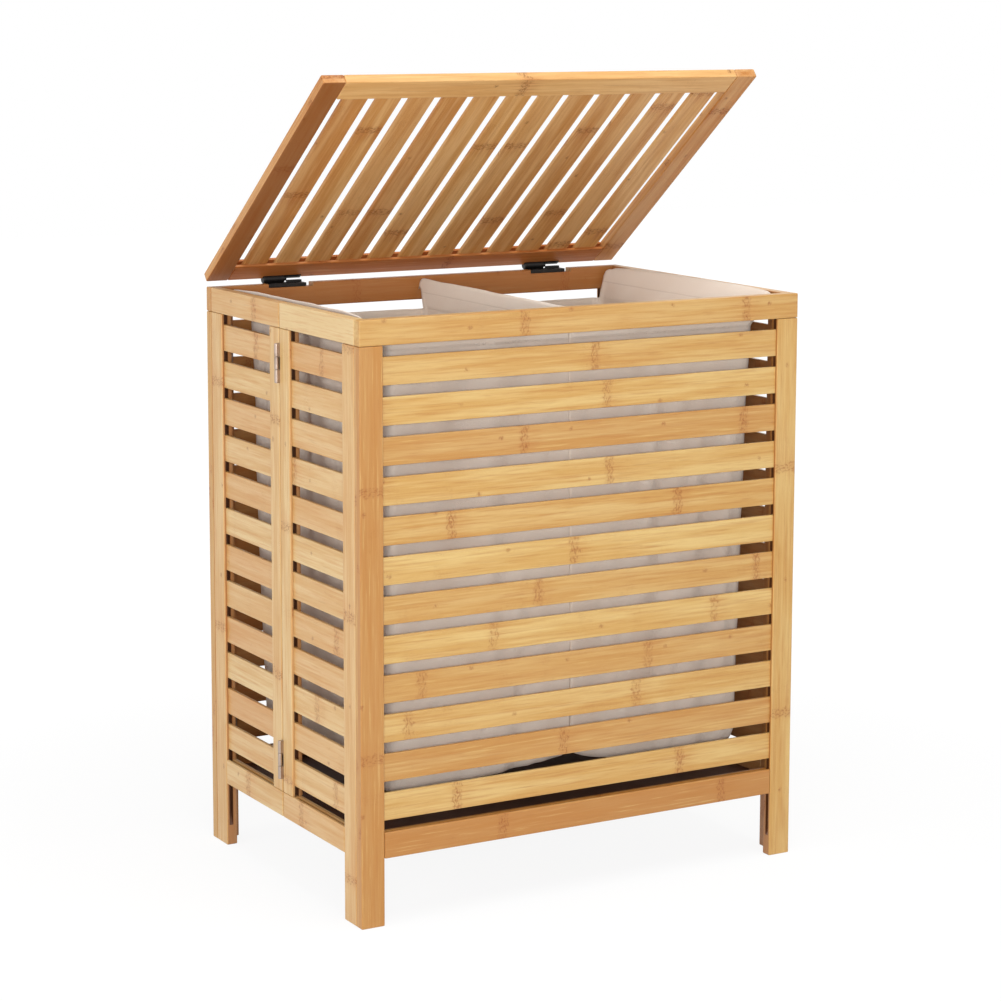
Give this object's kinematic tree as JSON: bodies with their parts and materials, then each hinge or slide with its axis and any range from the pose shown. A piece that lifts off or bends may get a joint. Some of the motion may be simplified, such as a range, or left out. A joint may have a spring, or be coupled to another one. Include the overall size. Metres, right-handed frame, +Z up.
{
  "type": "laundry hamper",
  "caption": "Folding bamboo laundry hamper with slatted sides, a slatted lid on friction hinges, two hanging cloth bags and a cloth floor.",
  "frame": {"origin": "on the floor, under the middle of the whole object's box with the lid half open", "axes": "+X to the right seen from the front, +Y from the front frame to the back frame, +Z up"},
  "size_m": [0.573, 0.4014, 0.9115],
  "materials": {
    "bamboo": "laminated bamboo, satin varnish",
    "pale_bamboo": "laminated bamboo, satin varnish",
    "lid_bamboo": "laminated bamboo, satin varnish",
    "bright_steel": "bright plated steel",
    "black_steel": "black satin",
    "bag_cloth": "plain woven cloth, pale beige",
    "dark_cloth": "dark brown non-woven cloth"
  },
  "bodies": {
    "back_frame": {"back_right_post_with_slats": "bamboo", "back_left_post": "bamboo", "back_top_rail": "bamboo", "back_bottom_rail": "bamboo", "back_left_upper_hinge_post_leaf": "bright_steel", "back_left_lower_hinge_post_leaf": "bright_steel", "back_right_upper_hinge_post_leaf": "bright_steel", "back_right_lower_hinge_post_leaf": "bright_steel", "lid_left_hinge_base": "black_steel", "lid_right_hinge_base": "black_steel", "bag_left": "bag_cloth", "bag_right": "bag_cloth", "base_cloth": "dark_cloth"},
    "left_rear_half": {"left_rear_stile_with_slats": "pale_bamboo", "left_rear_seam_stile": "pale_bamboo", "left_rear_top_rail": "pale_bamboo", "left_rear_bottom_rail": "pale_bamboo", "back_left_upper_hinge_stile_leaf": "bright_steel", "back_left_lower_hinge_stile_leaf": "bright_steel", "left_seam_upper_hinge_rear_leaf": "bright_steel", "left_seam_lower_hinge_rear_leaf": "bright_steel"},
    "left_front_half": {"left_front_stile_with_slats": "pale_bamboo", "left_front_seam_stile": "pale_bamboo", "left_front_top_rail": "pale_bamboo", "left_front_bottom_rail": "pale_bamboo", "front_left_upper_hinge_stile_leaf": "bright_steel", "front_left_lower_hinge_stile_leaf": "bright_steel", "left_seam_upper_hinge_front_leaf": "bright_steel", "left_seam_lower_hinge_front_leaf": "bright_steel"},
    "front_frame": {"front_left_post_with_slats": "bamboo", "front_right_post": "bamboo", "front_top_rail": "bamboo", "front_bottom_rail": "bamboo", "front_left_upper_hinge_post_leaf": "bright_steel", "front_left_lower_hinge_post_leaf": "bright_steel", "front_right_upper_hinge_post_leaf": "bright_steel", "front_right_lower_hinge_post_leaf": "bright_steel"},
    "right_rear_half": {"right_rear_stile_with_slats": "pale_bamboo", "right_rear_seam_stile": "pale_bamboo", "right_rear_top_rail": "pale_bamboo", "right_rear_bottom_rail": "pale_bamboo", "back_right_upper_hinge_stile_leaf": "bright_steel", "back_right_lower_hinge_stile_leaf": "bright_steel", "right_seam_upper_hinge_rear_leaf": "bright_steel", "right_seam_lower_hinge_rear_leaf": "bright_steel"},
    "right_front_half": {"right_front_stile_with_slats": "pale_bamboo", "right_front_seam_stile": "pale_bamboo", "right_front_top_rail": "pale_bamboo", "right_front_bottom_rail": "pale_bamboo", "front_right_upper_hinge_stile_leaf": "bright_steel", "front_right_lower_hinge_stile_leaf": "bright_steel", "right_seam_upper_hinge_front_leaf": "bright_steel", "right_seam_lower_hinge_front_leaf": "bright_steel"},
    "lid": {"lid_hinge_rail": "lid_bamboo", "lid_free_rail_with_slats": "lid_bamboo", "lid_left_stile": "lid_bamboo", "lid_right_stile": "lid_bamboo", "lid_left_hinge_leaf": "black_steel", "lid_right_hinge_leaf": "black_steel"}
  },
  "joints": [
    {"name": "fold", "type": "hinge", "parent": "left_rear_half", "child": "left_front_half", "pos_m": [-0.284, -0.0057, 0], "axis": [0, 0, -1], "range_deg": [0, 180], "deforming": ["bag_left", "bag_right", "base_cloth"]},
    {"name": "left_rear_fold", "type": "hinge", "parent": "back_frame", "child": "left_rear_half", "pos_m": [-0.265, 0.1733, 0], "axis": [0, 0, 1], "range_deg": [0, 90]},
    {"name": "front_fold", "type": "hinge", "parent": "left_front_half", "child": "front_frame", "pos_m": [-0.265, -0.1847, 0], "axis": [0, 0, 1], "range_deg": [0, 90]},
    {"name": "right_rear_fold", "type": "hinge", "parent": "back_frame", "child": "right_rear_half", "pos_m": [0.265, 0.1733, 0], "axis": [0, 0, -1], "range_deg": [0, 90]},
    {"name": "right_seam_fold", "type": "hinge", "parent": "right_rear_half", "child": "right_front_half", "pos_m": [0.284, -0.0057, 0], "axis": [0, 0, 1], "range_deg": [0, 180]},
    {"name": "lid_hinge", "type": "hinge", "parent": "back_frame", "child": "lid", "pos_m": [0, 0.1943, 0.6643], "axis": [-1, 0, 0], "range_deg": [-37.5, 62.5]}
  ],
  "couplings": [
    {"joint": "left_rear_fold", "follows": "fold", "ratio": 0.5},
    {"joint": "front_fold", "follows": "fold", "ratio": 0.5},
    {"joint": "right_rear_fold", "follows": "fold", "ratio": 0.5},
    {"joint": "right_seam_fold", "follows": "fold", "ratio": 1}
  ]
}
